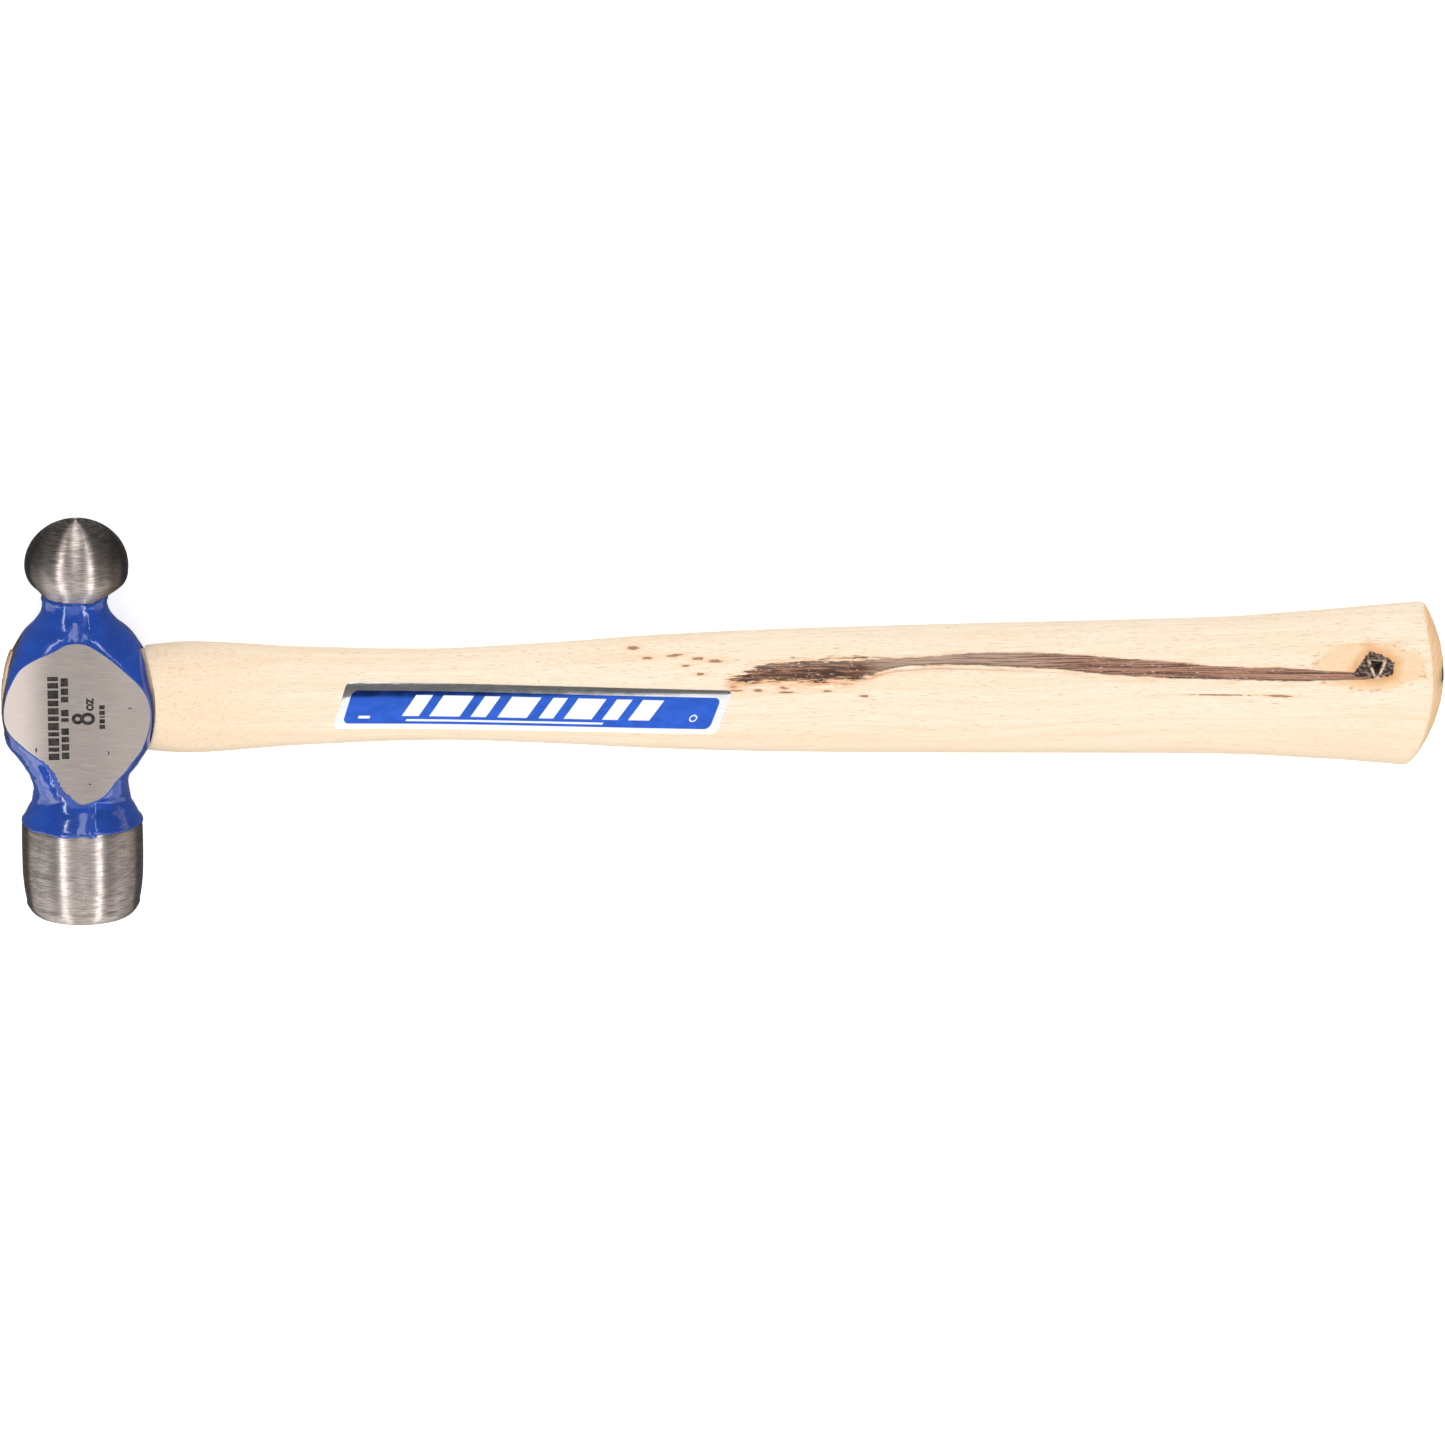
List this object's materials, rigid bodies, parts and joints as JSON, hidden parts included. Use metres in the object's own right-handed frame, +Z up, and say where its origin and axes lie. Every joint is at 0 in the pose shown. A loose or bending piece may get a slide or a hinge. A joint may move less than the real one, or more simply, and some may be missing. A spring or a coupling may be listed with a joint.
{
  "type": "ball-pein hammer",
  "caption": "Light ball-pein hammer: forged steel head with a round face and a ball, blue enamel around ground cheeks, and a long pale hickory handle.",
  "frame": {"origin": "below the middle of the whole hammer, on the surface that it lies on", "axes": "+X along the handle from the head to the butt, +Y towards the ball, +Z up and square to the ground cheeks; the striking face looks along -Y"},
  "size_m": [0.2992, 0.0848, 0.0254],
  "materials": {
    "forged_steel": "ground and brushed, with dull forged flanks",
    "blue_enamel": "thick dipped gloss enamel",
    "hickory": "pale sanded hickory under a thin clear lacquer",
    "wedge_wood": "end grain, dry",
    "wedge_steel": "dull stamped steel",
    "foil_label": "printed metallic foil"
  },
  "bodies": {
    "root": {"head": "forged_steel", "head_enamel": "blue_enamel", "handle": "hickory", "wood_wedge": "wedge_wood", "steel_wedge_ball_side": "wedge_steel", "steel_wedge_face_side": "wedge_steel", "label": "foil_label"}
  },
  "joints": []
}
